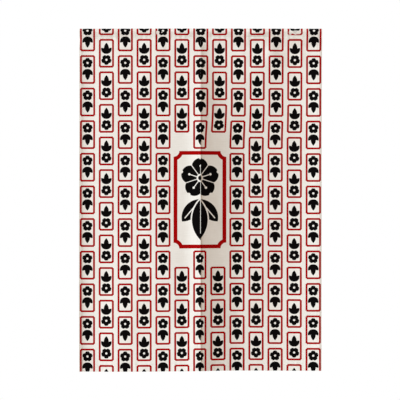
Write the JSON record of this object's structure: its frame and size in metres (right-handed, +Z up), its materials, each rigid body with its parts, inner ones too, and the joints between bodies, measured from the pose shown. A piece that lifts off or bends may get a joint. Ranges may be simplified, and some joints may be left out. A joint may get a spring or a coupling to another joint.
{
  "type": "partition curtain",
  "caption": "Short doorway curtain of printed cloth: a rod pocket along the top and two hemmed panels joined near the top, with a centre slit below.",
  "frame": {"origin": "middle of the curtain's top edge, where it hangs", "axes": "+X to the right seen from the front, +Y towards the back of the cloth, +Z up"},
  "size_m": [0.8503, 0.0571, 1.2],
  "materials": {
    "printed_cloth": "matt plain-weave cloth, off-white with a black and red print"
  },
  "bodies": {
    "root": {"heading": "printed_cloth", "panel_left": "printed_cloth", "panel_right": "printed_cloth"}
  },
  "joints": []
}
